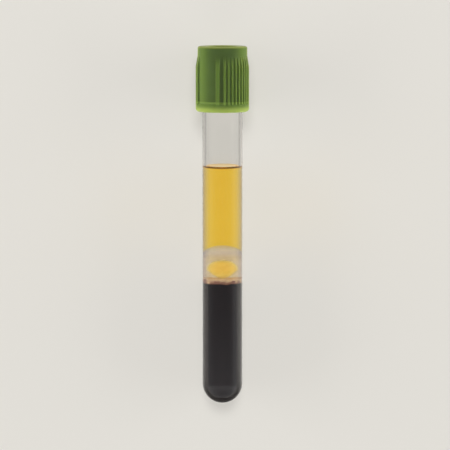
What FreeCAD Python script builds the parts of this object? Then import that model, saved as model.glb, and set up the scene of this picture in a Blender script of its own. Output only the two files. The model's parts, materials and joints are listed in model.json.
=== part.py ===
"""Evacuated blood collection tube after spinning, lying on its side.

A clear moulded tube with a hemispherical bottom holds packed red cells, a thin
buffy coat, a plug of separator gel with a pocket of plasma in it, and plasma.
A rubber stopper closes the tube's mouth, and a ribbed plastic shield that
clips round the stopper's head covers it and the tube's upper end.

Every piece is made upright, turned about the Z axis with the tube's tip at
height 0 and its front towards -Y. All of them are then laid down together, on
the round bottom and the shield's flange, with the front facing up and the
closure towards +Y. Lengths are millimetres and angles are degrees.
"""

import FreeCAD, Part
import math
import os

from FreeCAD import Placement, Rotation, Vector

# ---------------------------------------------------------------- tube
TUBE_RADIUS = 6.0
TUBE_WALL = 1.0
TUBE_LENGTH = 100.0
MOUTH_ROUNDING = 0.3

# ------------------------------------------------------------ contents
LIQUID_CLEARANCE = 0.03  # between a liquid or the gel and whatever it wets
CELLS_DEPTH = 34.9  # red cells, from the bottom of the bore
BUFFY_THICKNESS = 1.0
GEL_DEPTH = 7.8  # at the wall, under the dome
GEL_DOME_RISE = 2.7
POCKET_ROOF = 4.2  # gel above the pocket
POCKET_FLOOR = 0.7  # gel below the pocket's tip
POCKET_SIDE = 1.5  # gel between the pocket and the bore
POCKET_BELLY = 0.5  # height of the widest part, as a share of the pocket's
POCKET_TIP_BOW = 0.35  # how far the sides of the tip bow outwards
HEAD_SPACE = 19.3  # from the edge of the plasma up to the stopper
MENISCUS_RISE = 1.4

# ------------------------------------------------------------- stopper
PLUG_CLEARANCE = 0.05
PLUG_LENGTH = 8.5
PLUG_LEAD_IN = 1.5
PLUG_LEAD_IN_DEPTH = 0.45
PLUG_EDGE_ROUNDING = 0.4
RECESS_RADIUS = 2.4
RECESS_DEPTH = 6.5
HEAD_THICKNESS = 4.0
DISH_RADIUS = 3.6
DISH_DEPTH = 1.3

# -------------------------------------------------------------- shield
SKIRT_GAP = 0.84  # between the skirt and the tube
SKIRT_WALL = 0.58
SKIRT_DEPTH = 12.2  # below the tube's mouth
SKIRT_EDGE_ROUNDING = 0.25
LIP_THICKNESS = 3.3  # above the stopper's head
WELL_RADIUS = 4.4
WELL_EDGE_ROUNDING = 0.4
TOP_ROUNDING = 0.6
FLANGE_HEIGHT = 2.65
FLANGE_CORNER_ROUNDING = 1.0
FLANGE_TOP_ROUNDING = 0.75
SNAP_RIDGE_HEIGHT = 0.3  # ridge in the skirt that grips the stopper's head
SNAP_RIDGE_WIDTH = 0.8
SNAP_CLEARANCE = 0.02

# ----------------------------------------------------------- grip ribs
RIB_HEIGHT = 0.55
RIB_TOP_DROP = 2.8  # from the shield's top to where the ribs end
RIB_TOP_SLOPE = 3.3  # length over which the ribs fade into the skirt
RIB_CREST_ROUNDING = 0.12
GRIP_ZONES = 2
GRIP_CENTRE_ANGLE = 48.5  # from the front towards +X
FINE_RIBS = 11  # in each grip zone
FINE_RIB_PITCH = 8.65
FINE_RIB_CREST = 0.46
FINE_RIB_BASE = 0.74
EDGE_RIB_ANGLE = 59.0  # from the zone's centre to its two wide end ribs
EDGE_RIB_CREST = 1.02
EDGE_RIB_BASE = 1.28

# ------------------------------------------- sizes that follow from these
BORE_RADIUS = TUBE_RADIUS - TUBE_WALL
LIQUID_RADIUS = BORE_RADIUS - LIQUID_CLEARANCE

CELLS_BOTTOM = TUBE_WALL + LIQUID_CLEARANCE
CELLS_TOP = CELLS_BOTTOM + CELLS_DEPTH
BUFFY_BOTTOM = CELLS_TOP + LIQUID_CLEARANCE
BUFFY_TOP = BUFFY_BOTTOM + BUFFY_THICKNESS
GEL_BOTTOM = BUFFY_TOP + LIQUID_CLEARANCE
GEL_SHOULDER = GEL_BOTTOM + GEL_DEPTH
GEL_CROWN = GEL_SHOULDER + GEL_DOME_RISE

MOUTH = TUBE_LENGTH
PLUG_RADIUS = BORE_RADIUS - PLUG_CLEARANCE
PLUG_BOTTOM = MOUTH - PLUG_LENGTH
HEAD_TOP = MOUTH + HEAD_THICKNESS
MENISCUS_EDGE = PLUG_BOTTOM - HEAD_SPACE
MENISCUS_CENTRE = MENISCUS_EDGE - MENISCUS_RISE

SKIRT_INSIDE = TUBE_RADIUS + SKIRT_GAP
SKIRT_OUTSIDE = SKIRT_INSIDE + SKIRT_WALL
FLANGE_RADIUS = SKIRT_OUTSIDE + RIB_HEIGHT
SHIELD_BOTTOM = MOUTH - SKIRT_DEPTH
SHIELD_TOP = HEAD_TOP + LIP_THICKNESS
FLANGE_TOP = SHIELD_BOTTOM + FLANGE_HEIGHT
HEAD_RADIUS = SKIRT_INSIDE - SNAP_CLEARANCE
SNAP_HEIGHT = MOUTH + HEAD_THICKNESS / 2
RIB_END = SHIELD_TOP - RIB_TOP_DROP
RIB_SLOPE_START = RIB_END - RIB_TOP_SLOPE

AXIS = Vector(0, 0, 1)
OVERRUN = 1.0  # how far a cutter or a rib's root runs past the face that it meets


# ----------------------------------------------------------- outlines
def at(radius, height):
    """A point of an outline that is turned about the axis."""
    return Vector(radius, 0, height)


def arc(start, middle, end):
    return Part.Arc(start, middle, end).toShape()


def quarter_circle(start, end, centre):
    middle = centre + ((start - centre) + (end - centre)) * math.sqrt(0.5)
    return arc(start, middle, end)


def quarter_ellipse(start, end, centre):
    """A quarter of an ellipse whose two half-axes run from the centre to its ends."""
    curve = Part.BezierCurve()
    curve.setPoles([start, start + end - centre, end])
    curve.setWeight(2, math.sqrt(0.5))
    return curve.toShape()


def bowed_line(start, end, bow):
    """A shallow curve that stands off the straight line between its ends by the bow.

    It bulges to the right of the way from start to end, seen with height upwards.
    """
    way = end - start
    right = at(way.z, -way.x).normalize()
    curve = Part.BezierCurve()
    curve.setPoles([start, (start + end) / 2 + right * 2 * bow, end])
    return curve.toShape()


def rounded_outline(corners):
    """Edges of a closed outline. A corner is (point, rounding), and a rounding of 0 is sharp."""
    ends = []
    arcs = []
    for index, (corner, rounding) in enumerate(corners):
        if rounding == 0:
            ends.append((corner, corner))
            arcs.append(None)
            continue
        back = (corners[index - 1][0] - corner).normalize()
        ahead = (corners[(index + 1) % len(corners)][0] - corner).normalize()
        half_angle = back.getAngle(ahead) / 2
        bisector = (back + ahead).normalize()
        start = corner + back * (rounding / math.tan(half_angle))
        end = corner + ahead * (rounding / math.tan(half_angle))
        middle = corner + bisector * (rounding / math.sin(half_angle) - rounding)
        ends.append((start, end))
        arcs.append(arc(start, middle, end))
    edges = []
    for index, rounding_arc in enumerate(arcs):
        if rounding_arc:
            edges.append(rounding_arc)
        following = (index + 1) % len(corners)
        edges.append(Part.makeLine(ends[index][1], ends[following][0]))
    return edges


def turned(edges):
    """The solid that a closed outline sweeps out round the axis."""
    face = Part.Face(Part.Wire(Part.__sortEdges__(edges)))
    return Part.Solid(face.revolve(Vector(), AXIS, 360))


def round_bottomed(radius, bottom, top):
    """A cylinder on the axis with a hemispherical lower end."""
    equator = bottom + radius
    outline = [
        quarter_circle(at(0, bottom), at(radius, equator), at(0, equator)),
        Part.makeLine(at(radius, equator), at(radius, top)),
        Part.makeLine(at(radius, top), at(0, top)),
        Part.makeLine(at(0, top), at(0, bottom)),
    ]
    return turned(outline)


def dome_arc(radius, edge_height, centre_height):
    """A spherical dome or dish, from its edge to the axis."""
    rise = centre_height - edge_height
    sphere_radius = (radius**2 + rise**2) / (2 * abs(rise))
    half_way = radius / 2
    depth = sphere_radius - math.sqrt(sphere_radius**2 - half_way**2)
    middle = at(half_way, centre_height - math.copysign(depth, rise))
    return arc(at(radius, edge_height), middle, at(0, centre_height))


# ------------------------------------------------------- tube and contents
def make_tube():
    outside = round_bottomed(TUBE_RADIUS, 0, MOUTH)
    bore = round_bottomed(BORE_RADIUS, TUBE_WALL, MOUTH + OVERRUN)
    tube = outside.cut(bore)
    rim = [edge for edge in tube.Edges if edge.BoundBox.ZMin > MOUTH - MOUTH_ROUNDING]
    return tube.makeFillet(MOUTH_ROUNDING, rim)


def make_red_cells():
    return round_bottomed(LIQUID_RADIUS, CELLS_BOTTOM, CELLS_TOP)


def make_buffy_coat():
    return Part.makeCylinder(LIQUID_RADIUS, BUFFY_THICKNESS, at(0, BUFFY_BOTTOM))


def pocket(clearance):
    """The almond of plasma in the gel, smaller all round by the clearance.

    Its roof is half an ellipse, and its sides bow gently down to a point.
    """
    top = GEL_CROWN - POCKET_ROOF - clearance
    tip = GEL_BOTTOM + POCKET_FLOOR + clearance
    belly = tip + POCKET_BELLY * (top - tip)
    radius = LIQUID_RADIUS - POCKET_SIDE - clearance
    outline = [
        quarter_ellipse(at(0, top), at(radius, belly), at(0, belly)),
        bowed_line(at(0, tip), at(radius, belly), POCKET_TIP_BOW),
        Part.makeLine(at(0, tip), at(0, top)),
    ]
    return turned(outline)


def make_separator_gel():
    outline = [
        Part.makeLine(at(0, GEL_BOTTOM), at(LIQUID_RADIUS, GEL_BOTTOM)),
        Part.makeLine(at(LIQUID_RADIUS, GEL_BOTTOM), at(LIQUID_RADIUS, GEL_SHOULDER)),
        dome_arc(LIQUID_RADIUS, GEL_SHOULDER, GEL_CROWN),
        Part.makeLine(at(0, GEL_CROWN), at(0, GEL_BOTTOM)),
    ]
    return turned(outline).cut(pocket(0))


def make_trapped_plasma():
    return pocket(LIQUID_CLEARANCE)


def make_plasma():
    """Plasma from the gel's dome to a meniscus that climbs the wall."""
    shoulder = GEL_SHOULDER + LIQUID_CLEARANCE
    crown = GEL_CROWN + LIQUID_CLEARANCE
    outline = [
        dome_arc(LIQUID_RADIUS, shoulder, crown),
        Part.makeLine(at(LIQUID_RADIUS, shoulder), at(LIQUID_RADIUS, MENISCUS_EDGE)),
        quarter_ellipse(
            at(LIQUID_RADIUS, MENISCUS_EDGE),
            at(0, MENISCUS_CENTRE),
            at(0, MENISCUS_EDGE),
        ),
        Part.makeLine(at(0, MENISCUS_CENTRE), at(0, crown)),
    ]
    return turned(outline)


# --------------------------------------------------------------- closure
def make_rubber_stopper():
    """A plug that seals the bore, under a head that seats on the tube's mouth."""
    lead_in_radius = PLUG_RADIUS - PLUG_LEAD_IN_DEPTH
    groove_radius = HEAD_RADIUS - SNAP_RIDGE_HEIGHT
    half_groove = SNAP_RIDGE_WIDTH / 2 + SNAP_CLEARANCE
    stopper = turned(
        rounded_outline(
            [
                (at(0, PLUG_BOTTOM), 0),
                (at(lead_in_radius, PLUG_BOTTOM), PLUG_EDGE_ROUNDING),
                (at(PLUG_RADIUS, PLUG_BOTTOM + PLUG_LEAD_IN), 0),
                (at(PLUG_RADIUS, MOUTH), 0),
                (at(HEAD_RADIUS, MOUTH), 0),
                (at(HEAD_RADIUS, SNAP_HEIGHT - half_groove), 0),
                (at(groove_radius, SNAP_HEIGHT), 0),
                (at(HEAD_RADIUS, SNAP_HEIGHT + half_groove), 0),
                (at(HEAD_RADIUS, HEAD_TOP), 0),
                (at(0, HEAD_TOP), 0),
            ]
        )
    )
    dish = turned(
        [
            dome_arc(DISH_RADIUS, HEAD_TOP, HEAD_TOP - DISH_DEPTH),
            Part.makeLine(at(0, HEAD_TOP - DISH_DEPTH), at(0, HEAD_TOP)),
            Part.makeLine(at(0, HEAD_TOP), at(DISH_RADIUS, HEAD_TOP)),
        ]
    )
    recess_top = PLUG_BOTTOM + RECESS_DEPTH
    recess_spring = recess_top - RECESS_RADIUS
    recess_mouth = PLUG_BOTTOM - OVERRUN
    recess = turned(
        [
            Part.makeLine(at(0, recess_mouth), at(RECESS_RADIUS, recess_mouth)),
            Part.makeLine(at(RECESS_RADIUS, recess_mouth), at(RECESS_RADIUS, recess_spring)),
            quarter_circle(at(RECESS_RADIUS, recess_spring), at(0, recess_top), at(0, recess_spring)),
            Part.makeLine(at(0, recess_top), at(0, recess_mouth)),
        ]
    )
    return stopper.cut(dish).cut(recess)


def make_shield_shell():
    """The shield without its ribs: skirt, bottom flange, lip and well, in one turned wall."""
    ridge_radius = SKIRT_INSIDE - SNAP_RIDGE_HEIGHT
    half_ridge = SNAP_RIDGE_WIDTH / 2
    return turned(
        rounded_outline(
            [
                (at(SKIRT_INSIDE, SHIELD_BOTTOM), SKIRT_EDGE_ROUNDING),
                (at(FLANGE_RADIUS, SHIELD_BOTTOM), FLANGE_CORNER_ROUNDING),
                (at(FLANGE_RADIUS, FLANGE_TOP), FLANGE_TOP_ROUNDING),
                (at(SKIRT_OUTSIDE, FLANGE_TOP), 0),
                (at(SKIRT_OUTSIDE, SHIELD_TOP), TOP_ROUNDING),
                (at(WELL_RADIUS, SHIELD_TOP), WELL_EDGE_ROUNDING),
                (at(WELL_RADIUS, HEAD_TOP), 0),
                (at(SKIRT_INSIDE, HEAD_TOP), 0),
                (at(SKIRT_INSIDE, SNAP_HEIGHT + half_ridge), 0),
                (at(ridge_radius, SNAP_HEIGHT), 0),
                (at(SKIRT_INSIDE, SNAP_HEIGHT - half_ridge), 0),
            ]
        )
    )


def make_rib(crest, base, angle, envelope):
    """One grip rib: a bar with leaning sides and rounded crest edges, cut off by the envelope."""
    root_radius = SKIRT_OUTSIDE - SKIRT_WALL / 2
    lean = (base - crest) / 2 / RIB_HEIGHT
    half_root = base / 2 + lean * (SKIRT_OUTSIDE - root_radius)
    section = rounded_outline(
        [
            (Vector(-half_root, -root_radius, 0), 0),
            (Vector(-crest / 2, -FLANGE_RADIUS, 0), RIB_CREST_ROUNDING),
            (Vector(crest / 2, -FLANGE_RADIUS, 0), RIB_CREST_ROUNDING),
            (Vector(half_root, -root_radius, 0), 0),
        ]
    )
    root_height = FLANGE_TOP - FLANGE_TOP_ROUNDING
    bar = Part.Face(Part.Wire(section)).extrude(AXIS * (SHIELD_TOP - root_height))
    bar.translate(AXIS * root_height)
    bar.rotate(Vector(), AXIS, angle)
    return bar.common(envelope)


def rib_angles():
    """(angle, crest width, base width) of every rib, zone by zone."""
    ribs = []
    for zone in range(GRIP_ZONES):
        centre = GRIP_CENTRE_ANGLE + zone * 360 / GRIP_ZONES
        for side in (-1, 1):
            ribs.append((centre + side * EDGE_RIB_ANGLE, EDGE_RIB_CREST, EDGE_RIB_BASE))
        for index in range(FINE_RIBS):
            offset = (index - (FINE_RIBS - 1) / 2) * FINE_RIB_PITCH
            ribs.append((centre + offset, FINE_RIB_CREST, FINE_RIB_BASE))
    return ribs


def make_rib_envelope():
    """The space that the ribs may fill: it narrows to the skirt where they fade out."""
    slope = RIB_HEIGHT / RIB_TOP_SLOPE
    outer = FLANGE_RADIUS + slope * OVERRUN
    inner = SKIRT_OUTSIDE - slope * OVERRUN
    corners = [
        at(0, SHIELD_BOTTOM),
        at(outer, SHIELD_BOTTOM),
        at(outer, RIB_SLOPE_START - OVERRUN),
        at(inner, RIB_END + OVERRUN),
        at(0, RIB_END + OVERRUN),
    ]
    return turned(rounded_outline([(corner, 0) for corner in corners]))


def make_closure_shield():
    envelope = make_rib_envelope()
    ribs = [make_rib(crest, base, angle, envelope) for angle, crest, base in rib_angles()]
    return make_shield_shell().fuse(ribs).removeSplitter()


# ------------------------------------------------------------ lying down
def lying_tilt():
    """The angle between the axis and the floor, in degrees.

    The part lies on two circles: the tube's round bottom, and the rounding of
    the flange's lower corner. The floor is the line that touches both.
    """
    corner_radius = FLANGE_RADIUS - FLANGE_CORNER_ROUNDING
    corner_height = SHIELD_BOTTOM + FLANGE_CORNER_ROUNDING
    run = corner_height - TUBE_RADIUS
    span = math.hypot(run, corner_radius)
    drop = TUBE_RADIUS - FLANGE_CORNER_ROUNDING
    return math.degrees(math.atan2(corner_radius, run) - math.asin(drop / span))


def lying_placement(pieces):
    """Lays the part down, on the floor at height 0 and centred over the origin."""
    tilt = lying_tilt()
    turn = Placement(Vector(), Rotation(Vector(1, 0, 0), tilt - 90))
    upright = Part.makeCompound(pieces)
    laid = upright.transformed(turn.toMatrix(), copy=True).optimalBoundingBox(False, False)
    middle = Vector(0, laid.Center.y, laid.ZMin)
    return Placement(-middle, turn.Rotation)


def main():
    os.makedirs("parts", exist_ok=True)
    pieces = {
        "tube": make_tube(),
        "red_cells": make_red_cells(),
        "buffy_coat": make_buffy_coat(),
        "separator_gel": make_separator_gel(),
        "trapped_plasma": make_trapped_plasma(),
        "plasma": make_plasma(),
        "rubber_stopper": make_rubber_stopper(),
        "closure_shield": make_closure_shield(),
    }
    lying = lying_placement(list(pieces.values()))
    for name, shape in pieces.items():
        laid = shape.transformed(lying.toMatrix(), copy=True)
        laid.exportStep(f"parts/{name}.step")


main()
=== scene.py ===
"""Studio scene of a blood collection tube after spinning, lying on a pale floor.

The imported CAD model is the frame. The clear tube and what it holds are turned
here as smooth meshes, because light bends through them. The closure keeps its
two CAD mouldings and gets its finish here.

Turned pieces are drawn in the tube's own frame: the axis is Z, heights count up
from the tip of the round bottom, and the front is -Y. LYING takes that frame to
where the tube lies. Lengths are metres.
"""

import json
import math
import random

import bpy
from mathutils import Matrix, Vector, noise


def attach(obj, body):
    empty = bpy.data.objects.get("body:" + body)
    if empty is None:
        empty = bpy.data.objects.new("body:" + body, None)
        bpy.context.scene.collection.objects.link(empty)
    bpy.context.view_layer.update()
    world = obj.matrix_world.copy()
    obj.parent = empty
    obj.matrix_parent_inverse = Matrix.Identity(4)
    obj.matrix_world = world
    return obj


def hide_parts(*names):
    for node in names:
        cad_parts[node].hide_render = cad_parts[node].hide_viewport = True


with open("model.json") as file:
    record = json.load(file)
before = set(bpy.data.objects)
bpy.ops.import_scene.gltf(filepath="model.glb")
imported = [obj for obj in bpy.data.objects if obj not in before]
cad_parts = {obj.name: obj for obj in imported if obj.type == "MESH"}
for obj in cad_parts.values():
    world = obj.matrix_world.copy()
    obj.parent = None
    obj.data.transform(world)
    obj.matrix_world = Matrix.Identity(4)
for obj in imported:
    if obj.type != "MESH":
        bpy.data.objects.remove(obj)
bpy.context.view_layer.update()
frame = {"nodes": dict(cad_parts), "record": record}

MM = 0.001

# ---------------------------------------------------------------- turned pieces
WALL = 1.0 * MM
MOUTH_ROUNDING = 0.3 * MM
MOUTH_STEPS = 6
MERGE = 0.01 * MM  # a liquid's skin runs this far into what it wets
TURN_STEPS = 160
ARC_STEPS = 20
SHARP_EDGE = math.radians(40)
POCKET_BELLY = 0.47  # height of the pocket's widest part, as a share of its own
POCKET_TIP_BOW = 0.35 * MM
NEAR = 0.02 * MM  # a CAD point this near to the rim or the axis counts as on it
ON_AXIS = 1e-7  # a smaller radius is a point on the axis

# How far each edge of what the tube holds stands above that of its plain CAD solid.
EDGE_SHIFTS = {
    ("red_cells", "high"): 0.6 * MM,
    ("buffy_coat", "low"): 0.6 * MM,
    ("buffy_coat", "high"): 0.4 * MM,
    ("separator_gel", "low"): 0.4 * MM,
    ("separator_gel", "rim_high"): -1.4 * MM,
    ("separator_gel", "high"): 0.2 * MM,
    ("trapped_plasma", "low"): -0.1 * MM,
    ("plasma", "rim_high"): -0.6 * MM,
    ("plasma", "axis_high"): -0.4 * MM,
}

# ----------------------------------------------------------------- ragged layer
LAYER_RINGS = 26
LAYER_SINK = 0.35 * MM  # how deep the layer's tongues hang into the cells
LAYER_CREST = 0.4 * MM  # how far its crumbs rise into the gel
LAYER_LUMP = 1.5 * MM
LAYER_SWING = 0.6  # how far the lumps swing about half of the sink or the crest
LAYER_SMOOTHNESS = 0.9
LAYER_STEP = 2.1  # how much finer each further size of lump is
LAYER_LUMP_SIZES = 4
LAYER_SEED = 7
LAYER_SEED_REACH = 50  # how many lumps the seed can move the pattern by


# ------------------------------------------------------------------------- looks
def colour(red, green, blue):
    """An opaque colour, in linear light."""
    return (red, green, blue, 1.0)


def grey(value):
    """An opaque grey, in linear light."""
    return colour(value, value, value)


BLACK = grey(0.0)
WHITE = grey(1.0)

# Each finish drifts slowly between two tints.
CLEAR_TINTS = (colour(1, 0.995, 0.985), colour(0.985, 0.98, 0.97))
DRY_BORE_TINTS = (colour(0.83, 0.825, 0.81), colour(0.8, 0.795, 0.78))
WETTED_BORE_TINTS = (colour(1, 1, 0.99), colour(0.99, 0.985, 0.97))
PLASMA_TINTS = (colour(1.0, 0.995, 0.97), colour(1.0, 0.98, 0.93))
GEL_TINTS = (colour(0.97, 0.93, 0.86), colour(0.9, 0.84, 0.74))
CRUMB_TINTS = (colour(0.479, 0.332, 0.184), colour(0.376, 0.235, 0.144))
CELL_TINTS = (colour(0.005, 0.003, 0.004), colour(0.007, 0.004, 0.005))
GREEN_TINTS = (colour(0.068, 0.112, 0.026), colour(0.063, 0.104, 0.023))
RUBBER_TINTS = (grey(0.16), grey(0.13))

# What is left of white light that has gone through.
THROUGH_PLASTIC = grey(0.97)
THROUGH_GEL = colour(0.95, 0.92, 0.86)
STRAW = colour(1.0, 0.855, 0.01)
GEL_HAZE = colour(0.8, 0.6, 0.1)
STRAW_DENSITY = 295.0
POCKET_DENSITY = 450.0
GEL_DENSITY = 100.0

# Painted shade and painted light that come on as the surface turns away from the eye:
# darker outlines on the clear plastic, and lighter sides and outline on the green plastic.
# Its facing is 0 where it looks at the eye, and 1 at its outline. A span is (start, end).
CLEAR_OUTLINE_PAINTED_SHADE = colour(0.82, 0.78, 0.72)
CLEAR_OUTLINE_FACING = (0.3, 0.75)
WETTED_OUTLINE_PAINTED_SHADE = colour(0.44, 0.42, 0.7)
WETTED_OUTLINE_FACING = (0.05, 0.16)
GREEN_SLANT_PAINTED_LIGHT = colour(0.11, 0.178, 0.028)
GREEN_SLANT_FACING = (0.06, 0.45)
GREEN_OUTLINE_PAINTED_LIGHT = colour(0.22, 0.28, 0.045)
GREEN_OUTLINE_FACING = (0.6, 0.95)

# Painted shade and glow on the plasma's surface: a brown line at its near edge, by height over
# that surface.
MENISCUS_PAINTED_SHADE = colour(0.88, 0.62, 0.27)
MENISCUS_PAINTED_GLOW = colour(0.45, 0.2, 0.02)
SURFACE_SPAN = (-1.0 * MM, -0.4 * MM)
PLASMA_MIRROR = colour(1.0, 0.72, 0.3)  # the tint of what the plasma mirrors

# Painted glows, light painted where no lamp shines: in the pocket, on the gel's top by
# height over it, on the crumbs' upper side by its slope, and all over the green plastic.
POCKET_PAINTED_GLOW = colour(0.11, 0.105, 0)
GEL_TOP_PAINTED_GLOW = colour(0.02, 0.06, 0.25)
GEL_TOP_GLOW_SPAN = (-4.0 * MM, -0.8 * MM)
CRUMB_TOP_PAINTED_LIGHT = colour(0.3, 0.22, 0.13)
CRUMB_GLOW_SLOPE = (0.2, 0.8)
GREEN_PAINTED_GLOW = colour(1.0, 1.1, 0.7)
GREEN_GLOW_STRENGTH = 0.014

# Dark red streaks in the ragged layer, by height over the cells' edge. Blotches move
# that height up and down.
STREAK_RED = colour(0.13, 0.045, 0.035)
STREAK_SPAN = (-0.1 * MM, 0.5 * MM)
STREAK_SHARE = (0.85, 0.0)
BLOTCH_SPAN = (0.3, 0.7)
BLOTCH_RISE = (-0.8 * MM, 1.4 * MM)

# The closure's ribs, by radius, which are painted paler as if lit, and its bands of painted light
# and painted highlights, by height over its foot or top.
SKIRT_RADIUS = 7.4 * MM
CREST_RADIUS = 7.9 * MM
RIB_PAINTED_LIGHT = colour(0.105, 0.172, 0.032)
LEDGE_PAINTED_HIGHLIGHT = colour(0.17, 0.26, 0.05)
LEDGE_COMES = (2.4 * MM, 2.6 * MM)
LEDGE_GOES = (3.0 * MM, 3.3 * MM)
FOOT_PAINTED_LIGHT = colour(0.30, 0.39, 0.08)
FOOT_GOES = (0.7 * MM, 2.2 * MM)
RIM_PAINTED_HIGHLIGHT = colour(0.21, 0.25, 0.05)
RIM_COMES = (-0.6 * MM, -0.1 * MM)

# Shared effects.
DRIFT_SPAN = (0.35, 0.65)
COARSE_SCALE = 0.12  # of the coarse grain, as a share of the fine grain's
MARK_RUNS = ((0.35, 1.7), (-0.55, 8.3), (1.25, 15.1))  # the angle and seed of each run
MARK_TILT = 0.2
MARK_STRETCH = 0.06

# ------------------------------------------------------------------------ studio
PALE = colour(0.7605, 0.7379, 0.6867)  # the floor and what lies beyond it
FLOOR_SIZE = 6.0
SHADOW_SHARE = 0.5  # share of the floor's look that lamps and shadows change
FLOOR_GLOW = 0.56

# How bright the floor is through the clear plastic, by distance from the tube's line.
BESIDE_SPAN = (5 * MM, 16 * MM)
BESIDE_SHADE = (1.0, 0.5)

# How bright it is mirrored in the object: past the tip by that distance, and along
# the tube from left to right. The first gives way to the second over a span.
PAST_TIP_SPAN = (10 * MM, 60 * MM)
PAST_TIP_SHADE = (0.3, 1.3)
TO_RIGHT_SPAN = (-12 * MM, 12 * MM)
TO_RIGHT_SHADE = (1.25, 1.5)
ALONG_TUBE_SPAN = (-62 * MM, -46 * MM)

# How bright the surroundings are, from the horizon to overhead, as light and as
# mirrored in the object. A mirrored glow comes from the right, and one from past the
# tip, which is weaker further round.
SKY_SPAN = (0.0, 0.9)
SKY_LIGHT = (0.35, 0.05)
SKY_MIRRORED = (0.5, 0.28)
RIGHT_SPAN = (0.7, 1.0)
RIGHT_GLOW = (0.0, 0.25)
TIP_SPAN = (-0.12, -0.3)
TIP_GLOW = (0.0, 0.5)
TIP_FAR_SPAN = (-0.4, -0.95)
TIP_FAR_SHARE = (1.0, 0.35)

# Each lamp's name, place, aim, size and watts.
LAMPS = [
    ("left_key", (-1.6, 0, 0.32), (0, 0, 0), (1.6, 0.6), 22.0),
    ("right_key", (1.6, 0, 0.32), (0, 0, 0), (1.6, 0.6), 20.0),
    ("top_key", (0, 0.85, 1.4), (0, 0, 0), (0.7, 0.5), 14.0),
    ("tip_key", (0, -1.6, 0.22), (0, 0.05, 0), (1.0, 0.4), 15.0),
]

CAMERA_DISTANCE = 1.0
CAMERA_TILT = 5.6  # degrees from square to the tube, towards the closure
CAMERA_RISE = 53.73 * MM  # the height on the tube that the camera looks at
CAMERA_SIDESTEP = 0.764 * MM  # how far to the right of the tube's line it looks
VIEW_SIZE = 134.85 * MM  # width of what it sees at the tube
SENSOR = 36.0


# ------------------------------------------------------------------------- frame
def lying_matrix():
    """Takes the tube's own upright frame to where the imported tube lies."""
    mounts = {mount["name"]: mount for mount in frame["record"]["mounts"]}
    axis = Vector(mounts["needle_well"]["axis"]).normalized()
    on_axis = Vector(mounts["tube_outside"]["pos_m"])
    tube_points = frame["nodes"]["tube"].data.vertices
    lowest = min((vertex.co - on_axis).dot(axis) for vertex in tube_points)
    tip = on_axis + axis * lowest
    side = Vector((1, 0, 0))
    back = axis.cross(side)
    turn = Matrix((side, back, axis)).transposed()
    return Matrix.Translation(tip) @ turn.to_4x4()


def upright_points(cad_node, lying):
    """A CAD node's points in the tube's own frame, as (radius, height)."""
    standing = lying.inverted()
    points = [standing @ vertex.co for vertex in cad_node.data.vertices]
    return [(math.hypot(point.x, point.y), point.z) for point in points]


def measure(cad_node, lying):
    """Sizes of a turned CAD node: its radius, its lowest and highest height, the highest
    height of its rim, which is its widest part, and its highest height on the axis."""
    points = upright_points(cad_node, lying)
    radius = max(point[0] for point in points)
    heights = [point[1] for point in points]
    rim = [point[1] for point in points if point[0] > radius - NEAR]
    on_axis = [point[1] for point in points if point[0] < NEAR]
    return {
        "radius": radius,
        "low": min(heights),
        "high": max(heights),
        "rim_high": max(rim),
        "axis_high": max(on_axis, default=max(heights)),
    }


# ---------------------------------------------------------------------- outlines
def arc(centre_height, radii, start, end, centre_radius=0.0, steps=ARC_STEPS):
    """Points (radius, height) on an ellipse. Angles run from outwards to upwards."""
    points = []
    for step in range(steps + 1):
        angle = math.radians(start + (end - start) * step / steps)
        radius = centre_radius + radii[0] * math.cos(angle)
        points.append((radius, centre_height + radii[1] * math.sin(angle)))
    return points


def bowed_line(start, end, bow):
    """Points of a shallow curve that stands off the straight line by the bow."""
    way = Vector(end) - Vector(start)
    off = Vector((way.y, -way.x)).normalized()
    points = []
    for step in range(ARC_STEPS + 1):
        share = step / ARC_STEPS
        points.append(tuple(Vector(start) + way * share + off * 4 * bow * share * (1 - share)))
    return points


def circle(radius):
    """Points (x, y) round the axis, or the one point on it."""
    if radius < ON_AXIS:
        return [(0.0, 0.0)]
    angles = [math.tau * step / TURN_STEPS for step in range(TURN_STEPS)]
    return [(radius * math.cos(angle), radius * math.sin(angle)) for angle in angles]


def add_ring(vertices, points):
    """Adds a ring's points, and gives their numbers, one for each step of the turn."""
    first = len(vertices)
    vertices.extend(points)
    if len(points) == 1:
        return [first] * TURN_STEPS
    return list(range(first, first + TURN_STEPS))


def faces_between(rings):
    """The faces from each ring of point numbers to the next.

    On the axis a ring is one number over and over, so a face drops its doubled corner.
    """
    faces = []
    for ring, following in zip(rings, rings[1:]):
        for step in range(TURN_STEPS):
            ahead = (step + 1) % TURN_STEPS
            corners = [ring[step], ring[ahead], following[ahead], following[step]]
            faces.append(list(dict.fromkeys(corners)))
    return faces


def turned(name, outlines, lying):
    """A smooth closed mesh turned about the axis.

    An outline runs from the axis back to the axis with the solid on its left, so
    that an outline which runs the other way round leaves a hollow.
    """
    vertices = []
    faces = []
    for outline in outlines:
        rings = []
        for radius, height in outline:
            points = [(x, y, height) for x, y in circle(radius)]
            rings.append(add_ring(vertices, points))
        faces += faces_between(rings)
    return new_piece(name, vertices, faces, lying)


def new_piece(name, vertices, faces, lying):
    """A smooth mesh object, made in the tube's own frame and laid where the tube lies."""
    mesh = bpy.data.meshes.new(name)
    mesh.from_pydata(vertices, [], faces)
    mesh.validate()
    mesh.shade_smooth()
    mesh.set_sharp_from_angle(angle=SHARP_EDGE)
    mesh.transform(lying)
    piece = bpy.data.objects.new(name, mesh)
    bpy.context.scene.collection.objects.link(piece)
    return piece


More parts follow.
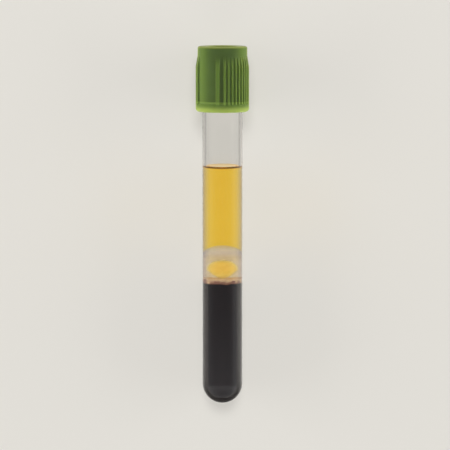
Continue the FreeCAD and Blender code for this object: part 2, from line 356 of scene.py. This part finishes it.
# ------------------------------------------------------------------------ pieces
def make_clear_tube(sizes, lying):
    """The moulding with its round end and rounded mouth, in three finishes."""
    outside = sizes["tube"]["radius"]
    mouth = sizes["tube"]["high"]
    bore = outside - WALL
    wet_edge = sizes["plasma"]["rim_high"]
    lip_base = mouth - MOUTH_ROUNDING
    rounding = (MOUTH_ROUNDING, MOUTH_ROUNDING)
    outline = arc(outside, (outside, outside), -90, 0)
    outline += arc(lip_base, rounding, 0, 90, outside - MOUTH_ROUNDING, MOUTH_STEPS)
    outline += arc(lip_base, rounding, 90, 180, bore + MOUTH_ROUNDING, MOUTH_STEPS)
    outline.append((bore, wet_edge))
    outline += arc(outside, (bore, bore), 0, -90)
    piece = turned("clear_tube", [outline], lying)
    for material in tube_finishes():
        piece.data.materials.append(material)
    outer, dry, wetted = range(3)
    standing = lying.inverted()
    for face in piece.data.polygons:
        centre = standing @ face.center
        # The round end's faces are told apart by their distance from its centre.
        into_round_end = min(centre.z - outside, 0)
        if math.hypot(centre.x, centre.y, into_round_end) >= outside - WALL / 2:
            face.material_index = outer
        elif centre.z >= wet_edge:
            face.material_index = dry
        else:
            face.material_index = wetted
    return piece


def make_plasma(sizes, lying):
    """Plasma from the gel's dome to a meniscus that climbs the wall."""
    bore = sizes["tube"]["radius"] - WALL + MERGE
    gel = sizes["separator_gel"]
    plasma = sizes["plasma"]
    climb = plasma["rim_high"] - plasma["axis_high"]
    dome_rise = gel["high"] - gel["rim_high"]
    outline = arc(gel["rim_high"] - MERGE, (bore, dome_rise), 90, 0)
    outline += arc(plasma["rim_high"], (bore, climb), 0, -90)
    return turned("plasma_column", [outline], lying)


def pocket_outline(sizes, swell):
    """The almond of plasma in the gel: an elliptic roof over sides that bow down to a tip."""
    pocket = sizes["trapped_plasma"]
    radius = pocket["radius"] + swell
    top = pocket["high"] + swell
    tip = pocket["low"] - swell
    belly = tip + POCKET_BELLY * (top - tip)
    outline = bowed_line((0, tip), (radius, belly), POCKET_TIP_BOW)
    outline += arc(belly, (radius, top - belly), 0, 90)[1:]
    return outline


def make_trapped_plasma(sizes, lying):
    """The pocket of plasma, which fills the gel's hollow."""
    return turned("plasma_pocket", [pocket_outline(sizes, 2 * MERGE)], lying)


def make_gel(sizes, lying):
    """The domed plug, with the hollow that the pocket fills."""
    bore = sizes["tube"]["radius"] - WALL + MERGE
    gel = sizes["separator_gel"]
    skin = [(0, gel["low"]), (bore, gel["low"])]
    skin += arc(gel["rim_high"], (bore, gel["high"] - gel["rim_high"]), 0, 90)
    hollow = list(reversed(pocket_outline(sizes, MERGE)))
    return turned("gel_plug", [skin, hollow], lying)


def make_cells(sizes, lying):
    """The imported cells, which fill the round end up to the ragged layer."""
    bore = sizes["tube"]["radius"] - WALL + MERGE
    top = sizes["red_cells"]["high"]
    outline = arc(sizes["tube"]["radius"], (bore, bore), -90, 0)
    outline += [(bore, top), (0, top)]
    return turned("packed_cells", [outline], lying)


def make_buffy_layer(sizes, lying):
    """A thin disc whose two faces are ragged: crumbs above and hanging tongues below."""
    bore = sizes["tube"]["radius"] - WALL + 2 * MERGE
    random.seed(LAYER_SEED)
    offset = Vector([random.uniform(-LAYER_SEED_REACH, LAYER_SEED_REACH) for _ in range(3)])

    def raggedness(x, y, height):
        """From 0 to 1: how far the face stands off its plain height there."""
        place = Vector((x, y, height)) / LAYER_LUMP + offset
        lumps = noise.fractal(place, LAYER_SMOOTHNESS, LAYER_STEP, LAYER_LUMP_SIZES)
        return min(max(0.5 + LAYER_SWING * lumps, 0), 1)

    vertices = []

    def ragged_face(level, reach):
        """Rings from the axis to the bore, which stand off the level by up to the reach."""
        rings = []
        for ring in range(LAYER_RINGS + 1):
            places = circle(bore * ring / LAYER_RINGS)
            points = [(x, y, level + reach * raggedness(x, y, level)) for x, y in places]
            rings.append(add_ring(vertices, points))
        return rings

    below = ragged_face(sizes["buffy_coat"]["low"], -LAYER_SINK)
    above = ragged_face(sizes["buffy_coat"]["high"], LAYER_CREST)
    faces = faces_between(below + above[::-1])
    return new_piece("buffy_layer", vertices, faces, lying)


# ------------------------------------------------------------------ node helpers
FLOAT = "NodeSocketFloat"
COLOUR = "NodeSocketColor"

# A Mix node has sockets for each kind of data: its share, first and second input, and
# its output.
MIX_COLOURS = (0, 6, 7, 2)
MIX_VALUES = (0, 2, 3, 0)


def put(tree, kind, values=None, **settings):
    """A new node with its settings and its sockets' plain values."""
    made = tree.nodes.new(kind)
    for name, value in settings.items():
        setattr(made, name, value)
    for name, value in (values or {}).items():
        made.inputs[name].default_value = value
    return made


def join(tree, source, target):
    """Links a node's output to another's input."""
    tree.links.new(source, target)


def fill(tree, target, value):
    """Feeds an input from a socket, or sets it to a plain value."""
    if isinstance(value, bpy.types.NodeSocket):
        join(tree, value, target)
    else:
        target.default_value = value


def mix(tree, data_type, sockets, values):
    """A Mix node. The values are its share, its first input and its second."""
    mixer = put(tree, "ShaderNodeMix", data_type=data_type)
    for index, value in zip(sockets, values):
        fill(tree, mixer.inputs[index], value)
    return mixer.outputs[sockets[-1]]


def blend_colours(tree, share, first, second):
    """A mix of two colours. All three may be a socket or a plain value."""
    return mix(tree, "RGBA", MIX_COLOURS, (share, first, second))


def blend_values(tree, share, first, second):
    """A mix of two numbers. All three may be a socket or a plain number."""
    return mix(tree, "FLOAT", MIX_VALUES, (share, first, second))


def stretch(tree, value, span, to=(0.0, 1.0), smooth=False):
    """Maps a value's span to another, kept between its ends."""
    kind = "SMOOTHSTEP" if smooth else "LINEAR"
    ramp = put(tree, "ShaderNodeMapRange", interpolation_type=kind, clamp=True)
    for index, number in enumerate((value, *span, *to)):
        fill(tree, ramp.inputs[index], number)
    return ramp.outputs[0]


def lifted(span, height):
    """A span of heights, moved up so that it counts from a height on the tube."""
    return (height + span[0], height + span[1])


def calculate(tree, operation, first, second=0.0):
    """A Math node. Each side may be a socket or a plain number."""
    maths = put(tree, "ShaderNodeMath", operation=operation)
    fill(tree, maths.inputs[0], first)
    fill(tree, maths.inputs[1], second)
    return maths.outputs[0]


def mix_shaders(tree, share, first, second):
    """A mix of two shaders by a mask."""
    mixer = put(tree, "ShaderNodeMixShader")
    for index, source in enumerate((share, first, second)):
        join(tree, source, mixer.inputs[index])
    return mixer.outputs[0]


def new_group(name, inputs, outputs):
    """An empty shader node group and its two end nodes.

    An input is given as (name, kind, value), and an output as (name, kind).
    """
    group = bpy.data.node_groups.new(name, "ShaderNodeTree")
    for socket_name, kind, value in inputs:
        made = group.interface.new_socket(socket_name, in_out="INPUT", socket_type=kind)
        made.default_value = value
    for socket_name, kind in outputs:
        group.interface.new_socket(socket_name, in_out="OUTPUT", socket_type=kind)
    return group, put(group, "NodeGroupInput"), put(group, "NodeGroupOutput")


def place_group(tree, name, values=None):
    """A shared group in a material, fed with the material's own values."""
    made = put(tree, "ShaderNodeGroup")
    made.node_tree = GROUPS[name]
    for socket_name, value in (values or {}).items():
        made.inputs[socket_name].default_value = value
    return made


def side_mask(tree, side):
    """A mask of the surface's front, where a ray enters, or its back, where it leaves."""
    behind = put(tree, "ShaderNodeNewGeometry").outputs["Backfacing"]
    return behind if side == "back" else calculate(tree, "SUBTRACT", 1.0, behind)


def colour_drift_group():
    """Slow patches between two tints, as in any moulded or settled stuff."""
    group, given, result = new_group(
        "colour drift",
        [
            ("Tint", COLOUR, grey(0.5)),
            ("Other Tint", COLOUR, grey(0.4)),
            ("Patches per Metre", FLOAT, 300.0),
        ],
        [("Colour", COLOUR)],
    )
    place = put(group, "ShaderNodeTexCoord")
    cloud = put(group, "ShaderNodeTexNoise", {"Detail": 3.0, "Roughness": 0.55})
    join(group, place.outputs["Object"], cloud.inputs["Vector"])
    join(group, given.outputs["Patches per Metre"], cloud.inputs["Scale"])
    patches = stretch(group, cloud.outputs["Fac"], DRIFT_SPAN, smooth=True)
    tint = blend_colours(group, patches, given.outputs["Tint"], given.outputs["Other Tint"])
    join(group, tint, result.inputs["Colour"])
    return group


def fine_grain_group():
    """The fine unevenness of a surface, as heights for a Bump node."""
    group, given, result = new_group(
        "fine grain",
        [("Grains per Metre", FLOAT, 4000.0), ("Coarse Share", FLOAT, 0.3)],
        [("Height", FLOAT)],
    )
    place = put(group, "ShaderNodeTexCoord")
    fine = put(group, "ShaderNodeTexNoise", {"Detail": 2.0, "Roughness": 0.6})
    coarse = put(group, "ShaderNodeTexNoise", {"Detail": 1.0, "Roughness": 0.4})
    for cloud in (fine, coarse):
        join(group, place.outputs["Object"], cloud.inputs["Vector"])
    grains = given.outputs["Grains per Metre"]
    join(group, grains, fine.inputs["Scale"])
    join(group, calculate(group, "MULTIPLY", grains, COARSE_SCALE), coarse.inputs["Scale"])
    swell = calculate(group, "MULTIPLY", coarse.outputs["Fac"], given.outputs["Coarse Share"])
    join(group, calculate(group, "ADD", fine.outputs["Fac"], swell), result.inputs["Height"])
    return group


def handling_marks_group():
    """Thin crossing rub marks, as a mask that roughens a polished surface."""
    group, given, result = new_group(
        "handling marks",
        [("Marks per Metre", FLOAT, 500.0), ("Width", FLOAT, 0.009)],
        [("Marks", FLOAT)],
    )
    place = put(group, "ShaderNodeTexCoord")
    marks = 0.0
    for angle, seed in MARK_RUNS:
        run = {
            "Location": (seed, seed, seed),
            "Rotation": (MARK_TILT, angle, angle),
            "Scale": (1.0, MARK_STRETCH, 1.0),
        }
        turn = put(group, "ShaderNodeMapping", run)
        cloud = put(group, "ShaderNodeTexNoise", {"Detail": 1.0, "Roughness": 0.5})
        join(group, place.outputs["Object"], turn.inputs["Vector"])
        join(group, turn.outputs["Vector"], cloud.inputs["Vector"])
        join(group, given.outputs["Marks per Metre"], cloud.inputs["Scale"])
        off_middle = calculate(group, "SUBTRACT", cloud.outputs["Fac"], 0.5)
        ridge = calculate(group, "ABSOLUTE", off_middle)
        line = calculate(group, "LESS_THAN", ridge, given.outputs["Width"])
        marks = calculate(group, "MAXIMUM", marks, line)
    join(group, marks, result.inputs["Marks"])
    return group


# --------------------------------------------------------------------- materials
def new_material(name, values):
    """A material with one Principled BSDF and its output."""
    material = bpy.data.materials.new(name)
    material.use_nodes = True
    tree = material.node_tree
    tree.nodes.clear()
    shader = put(tree, "ShaderNodeBsdfPrincipled", values)
    output = put(tree, "ShaderNodeOutputMaterial")
    join(tree, shader.outputs["BSDF"], output.inputs["Surface"])
    return material, tree, shader, output


def tinted(tree, shader, tints, patches):
    """Feeds the base colour from the shared drift between two tints."""
    values = {"Tint": tints[0], "Other Tint": tints[1], "Patches per Metre": patches}
    drift = place_group(tree, "drift", values)
    join(tree, drift.outputs["Colour"], shader.inputs["Base Color"])


def grained(tree, shader, grains, depth, strength):
    """Feeds the normal from the shared fine grain."""
    grain = place_group(tree, "grain", {"Grains per Metre": grains})
    bump = put(tree, "ShaderNodeBump", {"Strength": strength, "Distance": depth})
    join(tree, grain.outputs["Height"], bump.inputs["Height"])
    join(tree, bump.outputs["Normal"], shader.inputs["Normal"])


def tinted_over(tree, shader, share, tint):
    """Blends the base colour to another tint by a share."""
    plain = shader.inputs["Base Color"].links[0].from_socket
    join(tree, blend_colours(tree, share, plain, tint), shader.inputs["Base Color"])


def facing_away(tree):
    """From 0, where the surface looks at the eye, to 1, at its outline."""
    return put(tree, "ShaderNodeLayerWeight", {"Blend": 0.5}).outputs["Facing"]


def paint_edge_light_and_shade(tree, shader, edge_tint, span, side="both"):
    """Paints light and shade into the base colour, as a tint where the surface turns away from
    the eye.

    The tint can be kept to the surface's front or back.
    """
    share = stretch(tree, facing_away(tree), span, smooth=True)
    if side != "both":
        share = calculate(tree, "MULTIPLY", share, side_mask(tree, side))
    tinted_over(tree, shader, share, edge_tint)


def rubbed(tree, shader, marks_per_metre, polished, dulled):
    """Feeds the roughness from the shared handling marks."""
    marks = place_group(tree, "marks", {"Marks per Metre": marks_per_metre})
    rough = stretch(tree, marks.outputs["Marks"], (0.0, 1.0), (polished, dulled))
    join(tree, rough, shader.inputs["Roughness"])


def dimmed_by_depth(tree, output, left, density):
    """Light fades to a colour by the depth of liquid or gel that it goes through."""
    depth = put(tree, "ShaderNodeVolumeAbsorption", {"Color": left, "Density": density})
    join(tree, depth.outputs["Volume"], output.inputs["Volume"])


def lets_lamps_through(tree, shader, output, tint):
    """Shadow rays pass through the material, so that what it holds is lit."""
    clear = put(tree, "ShaderNodeBsdfTransparent", {"Color": tint})
    shadows = put(tree, "ShaderNodeLightPath").outputs["Is Shadow Ray"]
    surface = mix_shaders(tree, shadows, shader.outputs["BSDF"], clear.outputs["BSDF"])
    join(tree, surface, output.inputs["Surface"])


def clear_plastic(name, tints, dulled, reflects=True):
    """A face of the tube's clear moulding. Where liquid wets it, it doesn't reflect."""
    values = {
        "IOR": 1.57,
        "Transmission Weight": 1.0,
        "Metallic": 0.0,
        "Specular Tint": WHITE if reflects else BLACK,
    }
    material, tree, shader, output = new_material(name, values)
    tinted(tree, shader, tints, patches=60.0)
    rubbed(tree, shader, marks_per_metre=500.0, polished=0.01, dulled=dulled)
    lets_lamps_through(tree, shader, output, THROUGH_PLASTIC)
    return material, tree, shader


def tube_finishes():
    """The tube's outside, its dry bore, and its bore below the plasma's surface."""
    outer = clear_plastic("clear_plastic", CLEAR_TINTS, dulled=0.1)
    dry = clear_plastic("bare_bore", DRY_BORE_TINTS, dulled=0.05)
    wetted = clear_plastic("wetted_bore", WETTED_BORE_TINTS, dulled=0.02, reflects=False)
    # Painted shade darkens the outline of the tube's outside, and that of its wetted bore at the
    # back.
    paint_edge_light_and_shade(*outer[1:], CLEAR_OUTLINE_PAINTED_SHADE, CLEAR_OUTLINE_FACING, "front")
    paint_edge_light_and_shade(*wetted[1:], WETTED_OUTLINE_PAINTED_SHADE, WETTED_OUTLINE_FACING, "back")
    return [outer[0], dry[0], wetted[0]]


def paint_meniscus_shade(tree, shader, surface):
    """Paints shade, a brown line, on the near edge of the plasma's surface, whose height on the
    tube is given, with a painted glow where it slants away.
    """
    height = place_group(tree, "place").outputs["Height"]
    near_surface = stretch(tree, height, lifted(SURFACE_SPAN, surface), smooth=True)
    edge = calculate(tree, "MULTIPLY", near_surface, side_mask(tree, "front"))
    tinted_over(tree, shader, edge, MENISCUS_PAINTED_SHADE)
    # Painted glow where the brown edge slants away from the eye.
    slanting_edge = calculate(tree, "MULTIPLY", edge, facing_away(tree))
    painted_meniscus_glow = blend_colours(tree, slanting_edge, BLACK, MENISCUS_PAINTED_GLOW)
    join(tree, painted_meniscus_glow, shader.inputs["Emission Color"])


def plasma_liquid(name, density, glow=BLACK, surface=None):
    """Straw-coloured plasma: clear, and yellow by its depth.

    The glow is painted light, given to the pocket in the gel. A surface is given by its height on
    the tube, and gets a painted brown shade line and glow at its near edge.
    """
    values = {
        "IOR": 1.35,
        "Transmission Weight": 1.0,
        "Metallic": 0.0,
        "Roughness": 0.0,
        "Specular Tint": PLASMA_MIRROR,
        # a painted glow, though the plasma is no lamp
        "Emission Color": glow,
        "Emission Strength": 1.0,
    }
    material, tree, shader, output = new_material(name, values)
    tinted(tree, shader, PLASMA_TINTS, patches=120.0)
    if surface is not None:
        paint_meniscus_shade(tree, shader, surface)
    dimmed_by_depth(tree, output, STRAW, density)
    lets_lamps_through(tree, shader, output, WHITE)
    return material


def cloudy_gel(top):
    """Cloudy gel, with a bluish painted glow towards the top of its dome, whose height on the
    tube is given.
    """
    values = {
        "IOR": 1.37,
        "Transmission Weight": 0.95,
        "Metallic": 0.0,
        "Specular Tint": BLACK,
        "Roughness": 0.1,
        "Emission Strength": 1.0,
    }
    material, tree, shader, output = new_material("cloudy_gel", values)
    tinted(tree, shader, GEL_TINTS, patches=900.0)
    height = place_group(tree, "place").outputs["Height"]
    # Painted glow, bluish, towards the top of the dome.
    gel_top_glow_share = stretch(tree, height, lifted(GEL_TOP_GLOW_SPAN, top), smooth=True)
    gel_top_painted_glow = blend_colours(tree, gel_top_glow_share, BLACK, GEL_TOP_PAINTED_GLOW)
    join(tree, gel_top_painted_glow, shader.inputs["Emission Color"])
    grained(tree, shader, grains=1600.0, depth=0.05 * MM, strength=0.3)
    dimmed_by_depth(tree, output, GEL_HAZE, GEL_DENSITY)
    lets_lamps_through(tree, shader, output, THROUGH_GEL)
    return material


def ragged_layer(cells_edge, axis):
    """Beige and pink-brown crumbs, with dark red streaks towards the cells' edge, and painted
    light glowing on their upper side.
    """
    values = {"Roughness": 0.6, "Specular IOR Level": 0.1, "Emission Strength": 1.0}
    material, tree, shader, _ = new_material("buffy_crumbs", values)
    tinted(tree, shader, CRUMB_TINTS, patches=700.0)
    height = place_group(tree, "place").outputs["Height"]
    place = put(tree, "ShaderNodeTexCoord")
    blotches = put(tree, "ShaderNodeTexNoise", {"Scale": 420.0, "Detail": 4.0, "Roughness": 0.65})
    join(tree, place.outputs["Object"], blotches.inputs["Vector"])
    swell = stretch(tree, blotches.outputs["Fac"], BLOTCH_SPAN, BLOTCH_RISE)
    ragged_height = calculate(tree, "SUBTRACT", height, swell)
    red_span = lifted(STREAK_SPAN, cells_edge)
    red = stretch(tree, ragged_height, red_span, STREAK_SHARE, smooth=True)
    tinted_over(tree, shader, red, STREAK_RED)
    # Painted light: the crumbs' upper side glows, as if lit from above.
    upward = put(tree, "ShaderNodeVectorMath", operation="DOT_PRODUCT")
    upward.inputs[1].default_value = axis
    join(tree, put(tree, "ShaderNodeNewGeometry").outputs["True Normal"], upward.inputs[0])
    top = stretch(tree, upward.outputs["Value"], CRUMB_GLOW_SLOPE, smooth=True)
    join(tree, blend_colours(tree, top, BLACK, CRUMB_TOP_PAINTED_LIGHT), shader.inputs["Emission Color"])
    grained(tree, shader, grains=2500.0, depth=0.1 * MM, strength=0.8)
    return material


def dark_cells():
    """Packed red cells, near black in the mass."""
    values = {"Roughness": 0.5, "Specular IOR Level": 0.05}
    material, tree, shader, _ = new_material("packed_cells", values)
    tinted(tree, shader, CELL_TINTS, patches=400.0)
    return material


def place_on_tube_group(lying, axis):
    """The height along the tube, and a mask of what stands out from the closure's skirt."""
    group, given, result = new_group(
        "place on the tube",
        [("Skirt", FLOAT, SKIRT_RADIUS), ("Crest", FLOAT, CREST_RADIUS)],
        [("Raised", FLOAT), ("Height", FLOAT)],
    )
    place = put(group, "ShaderNodeTexCoord")
    from_tip = put(group, "ShaderNodeVectorMath", operation="SUBTRACT")
    from_tip.inputs[1].default_value = lying.translation
    join(group, place.outputs["Object"], from_tip.inputs[0])
    along = put(group, "ShaderNodeVectorMath", operation="DOT_PRODUCT")
    across = put(group, "ShaderNodeVectorMath", operation="CROSS_PRODUCT")
    for part in (along, across):
        part.inputs[1].default_value = axis
        join(group, from_tip.outputs["Vector"], part.inputs[0])
    join(group, along.outputs["Value"], result.inputs["Height"])
    off_axis = put(group, "ShaderNodeVectorMath", operation="LENGTH")
    join(group, across.outputs["Vector"], off_axis.inputs[0])
    ribs = (given.outputs["Skirt"], given.outputs["Crest"])
    over_skirt = stretch(group, off_axis.outputs["Value"], ribs, smooth=True)
    join(group, over_skirt, result.inputs["Raised"])
    return group


def green_plastic(foot, top):
    """Cloudy green plastic, with painted light: paler ribs, lighter slanting sides, and a painted
    glow all over and along its outline.

    The foot and the top are the heights on the tube of its end edges, which get the brightest
    painted light and highlights.
    """
    values = {
        "IOR": 1.5,
        "Specular IOR Level": 0.15,
        "Subsurface Weight": 0.7,
        "Subsurface Radius": (1.0, 1.0, 0.4),
        "Subsurface Scale": 1.4 * MM,
        # a painted glow, though the plastic is no lamp
        "Emission Color": GREEN_PAINTED_GLOW,
        "Emission Strength": GREEN_GLOW_STRENGTH,
    }
    material, tree, shader, _ = new_material("green_plastic", values)
    tinted(tree, shader, GREEN_TINTS, patches=250.0)
    place = place_group(tree, "place")
    height = place.outputs["Height"]
    # Painted light: the ribs are painted paler than the grooves between them.
    tinted_over(tree, shader, place.outputs["Raised"], RIB_PAINTED_LIGHT)
    # Painted light on the sides that slant away from the eye, and a painted glow along the
    # outline.
    paint_edge_light_and_shade(tree, shader, GREEN_SLANT_PAINTED_LIGHT, GREEN_SLANT_FACING)
    paint_edge_light_and_shade(tree, shader, GREEN_OUTLINE_PAINTED_LIGHT, GREEN_OUTLINE_FACING)
    # Painted highlight: a pale band at the foot of the grooves, just over the flange.
    over_flange = stretch(tree, height, lifted(LEDGE_COMES, foot), smooth=True)
    under_grooves = stretch(tree, height, lifted(LEDGE_GOES, foot), (1.0, 0.0), smooth=True)
    ledge_highlight_share = calculate(tree, "MULTIPLY", over_flange, under_grooves)
    tinted_over(tree, shader, ledge_highlight_share, LEDGE_PAINTED_HIGHLIGHT)
    # Painted light along the foot of the flange, as from below.
    foot_painted_light_share = stretch(tree, height, lifted(FOOT_GOES, foot), (1.0, 0.0), smooth=True)
    tinted_over(tree, shader, foot_painted_light_share, FOOT_PAINTED_LIGHT)
    # Painted highlight along the top rim.
    rim = stretch(tree, height, lifted(RIM_COMES, top), smooth=True)
    tinted_over(tree, shader, rim, RIM_PAINTED_HIGHLIGHT)
    rubbed(tree, shader, marks_per_metre=350.0, polished=0.5, dulled=0.62)
    grained(tree, shader, grains=5000.0, depth=0.02 * MM, strength=0.35)
    return material


def grey_rubber():
    """The stopper's matt rubber."""
    values = {"Specular IOR Level": 0.35}
    material, tree, shader, _ = new_material("grey_rubber", values)
    tinted(tree, shader, RUBBER_TINTS, patches=300.0)
    rubbed(tree, shader, marks_per_metre=300.0, polished=0.65, dulled=0.8)
    grained(tree, shader, grains=3500.0, depth=0.05 * MM, strength=0.5)
    return material


# ------------------------------------------------------------------------ studio
def either(tree, path, first, second):
    """A mask of the rays that are of one kind or the other."""
    return calculate(tree, "MAXIMUM", path.outputs[first], path.outputs[second])


def shade_through_plastic(tree, path):
    """How bright the floor is when seen through or in the clear plastic."""
    place = put(tree, "ShaderNodeTexCoord")
    split = put(tree, "ShaderNodeSeparateXYZ")
    join(tree, place.outputs["Object"], split.inputs[0])
    across, along = split.outputs["X"], split.outputs["Y"]
    from_tube = calculate(tree, "ABSOLUTE", across)
    beside = stretch(tree, from_tube, BESIDE_SPAN, BESIDE_SHADE, smooth=True)
    past_tip = stretch(tree, from_tube, PAST_TIP_SPAN, PAST_TIP_SHADE, smooth=True)
    to_right = stretch(tree, across, TO_RIGHT_SPAN, TO_RIGHT_SHADE)
    along_tube = stretch(tree, along, ALONG_TUBE_SPAN, smooth=True)
    mirrored = blend_values(tree, along_tube, past_tip, to_right)
    bent = calculate(tree, "GREATER_THAN", path.outputs["Transmission Depth"], 0.5)
    return blend_values(tree, bent, mirrored, beside)


def pale_floor():
    """Seen directly it keeps a soft shadow; seen in or through the clear plastic it is
    as pale as what lies beyond it, and dimmer beside the tube."""
    material = bpy.data.materials.new("pale_floor")
    material.use_nodes = True
    tree = material.node_tree
    tree.nodes.clear()
    output = put(tree, "ShaderNodeOutputMaterial")
    path = put(tree, "ShaderNodeLightPath")
    part_pale = colour(*(SHADOW_SHARE * part for part in PALE[:3]))
    lit = put(tree, "ShaderNodeBsdfDiffuse", {"Color": PALE})
    part_lit = put(tree, "ShaderNodeBsdfDiffuse", {"Color": part_pale})
    own_glow = put(tree, "ShaderNodeEmission", {"Color": PALE, "Strength": FLOOR_GLOW})
    seen = put(tree, "ShaderNodeAddShader")
    join(tree, part_lit.outputs[0], seen.inputs[0])
    join(tree, own_glow.outputs[0], seen.inputs[1])
    mirrored = put(tree, "ShaderNodeEmission", {"Color": PALE})
    join(tree, shade_through_plastic(tree, path), mirrored.inputs["Strength"])
    through = either(tree, path, "Is Glossy Ray", "Is Transmission Ray")
    indirect = mix_shaders(tree, through, lit.outputs[0], mirrored.outputs[0])
    final = mix_shaders(tree, path.outputs["Is Camera Ray"], indirect, seen.outputs[0])
    join(tree, final, output.inputs["Surface"])
    return material


def make_floor():
    """A plain pale floor that runs out past the view."""
    half = FLOOR_SIZE / 2
    corners = [(-half, -half, 0), (half, -half, 0), (half, half, 0), (-half, half, 0)]
    mesh = bpy.data.meshes.new("studio_floor")
    mesh.from_pydata(corners, [], [(0, 1, 2, 3)])
    mesh.materials.append(pale_floor())
    floor = bpy.data.objects.new("studio_floor", mesh)
    bpy.context.scene.collection.objects.link(floor)


def make_world():
    """Soft studio surroundings: pale to the eye, and as light dim overhead and bright
    low down. In reflections there is a glow from the right and one from past the tip."""
    world = bpy.data.worlds.new("studio")
    bpy.context.scene.world = world
    world.use_nodes = True
    tree = world.node_tree
    tree.nodes.clear()
    output = put(tree, "ShaderNodeOutputWorld")
    path = put(tree, "ShaderNodeLightPath")
    direction = put(tree, "ShaderNodeTexCoord")
    split = put(tree, "ShaderNodeSeparateXYZ")
    join(tree, direction.outputs["Generated"], split.inputs[0])
    across, along, upward = (split.outputs[way] for way in "XYZ")
    lighting = stretch(tree, upward, SKY_SPAN, SKY_LIGHT, smooth=True)
    mirrored = stretch(tree, upward, SKY_SPAN, SKY_MIRRORED, smooth=True)
    right_glow = stretch(tree, across, RIGHT_SPAN, RIGHT_GLOW, smooth=True)
    near_glow = stretch(tree, along, TIP_SPAN, TIP_GLOW, smooth=True)
    far_share = stretch(tree, along, TIP_FAR_SPAN, TIP_FAR_SHARE, smooth=True)
    tip_glow = calculate(tree, "MULTIPLY", near_glow, far_share)
    glows = calculate(tree, "ADD", calculate(tree, "ADD", mirrored, right_glow), tip_glow)
    light = put(tree, "ShaderNodeBackground", {"Color": WHITE})
    strength = blend_values(tree, path.outputs["Is Glossy Ray"], lighting, glows)
    join(tree, strength, light.inputs["Strength"])
    backdrop = put(tree, "ShaderNodeBackground", {"Color": PALE})
    seen = either(tree, path, "Is Camera Ray", "Is Transmission Ray")
    surroundings = mix_shaders(tree, seen, light.outputs[0], backdrop.outputs[0])
    join(tree, surroundings, output.inputs["Surface"])


def make_lamp(name, place, aim, size, watts):
    """A soft rectangular lamp, which is seen neither directly, nor in or through the object."""
    data = bpy.data.lights.new(name, "AREA")
    data.shape = "RECTANGLE"
    data.size, data.size_y = size
    data.energy = watts
    lamp = bpy.data.objects.new(name, data)
    bpy.context.scene.collection.objects.link(lamp)
    lamp.location = place
    lamp.rotation_euler = (Vector(aim) - Vector(place)).to_track_quat("-Z", "Y").to_euler()
    lamp.visible_camera = False
    lamp.visible_transmission = False
    lamp.visible_glossy = False


def make_lamps():
    """All of the studio's lamps."""
    for lamp in LAMPS:
        make_lamp(*lamp)


def make_camera(lying):
    """Looks at the tube's front, tilted a little, with the closure at the top of the view."""
    data = bpy.data.cameras.new("camera")
    data.sensor_width = SENSOR
    data.lens = SENSOR * CAMERA_DISTANCE / VIEW_SIZE
    camera = bpy.data.objects.new("camera", data)
    bpy.context.scene.collection.objects.link(camera)
    target = Matrix.Translation((CAMERA_SIDESTEP, 0, CAMERA_RISE))
    facing = Matrix.Rotation(math.radians(90 - CAMERA_TILT), 4, "X")
    camera.matrix_world = lying @ target @ facing @ Matrix.Translation((0, 0, CAMERA_DISTANCE))
    bpy.context.scene.camera = camera


# ------------------------------------------------------------------------- build
bpy.context.scene.view_settings.view_transform = "Standard"

LYING = lying_matrix()
AXIS = LYING.to_3x3() @ Vector((0, 0, 1))
GROUPS = {
    "drift": colour_drift_group(),
    "grain": fine_grain_group(),
    "marks": handling_marks_group(),
    "place": place_on_tube_group(LYING, AXIS),
}

SIZES = {name: measure(node, LYING) for name, node in frame["nodes"].items()}
for (cad_name, edge), shift in EDGE_SHIFTS.items():
    SIZES[cad_name][edge] += shift

SHIELD = SIZES["closure_shield"]
FINISHES = {
    "plasma": plasma_liquid("straw_plasma", STRAW_DENSITY, surface=SIZES["plasma"]["rim_high"]),
    "trapped_plasma": plasma_liquid("trapped_straw", POCKET_DENSITY, glow=POCKET_PAINTED_GLOW),
    "separator_gel": cloudy_gel(SIZES["separator_gel"]["high"]),
    "buffy_coat": ragged_layer(SIZES["red_cells"]["high"], AXIS),
    "red_cells": dark_cells(),
    "closure_shield": green_plastic(SHIELD["low"], SHIELD["high"]),
    "rubber_stopper": grey_rubber(),
}

TURNED_PIECES = [
    (make_clear_tube, "tube", "clear_plastic"),
    (make_plasma, "plasma", "yellow_plasma"),
    (make_trapped_plasma, "trapped_plasma", "yellow_plasma"),
    (make_gel, "separator_gel", "beige_gel"),
    (make_buffy_layer, "buffy_coat", "pink_buffy"),
    (make_cells, "red_cells", "dark_cells"),
]
for make, cad_name, slot in TURNED_PIECES:
    piece = make(SIZES, LYING)
    # The tube already has its finishes, one for each kind of face.
    if cad_name in FINISHES:
        piece.data.materials.append(FINISHES[cad_name])
    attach(piece, "tube")
    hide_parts(cad_name)

for cad_name in ("closure_shield", "rubber_stopper"):
    frame["nodes"][cad_name].material_slots[0].material = FINISHES[cad_name]

make_floor()
make_world()
make_lamps()
make_camera(LYING)
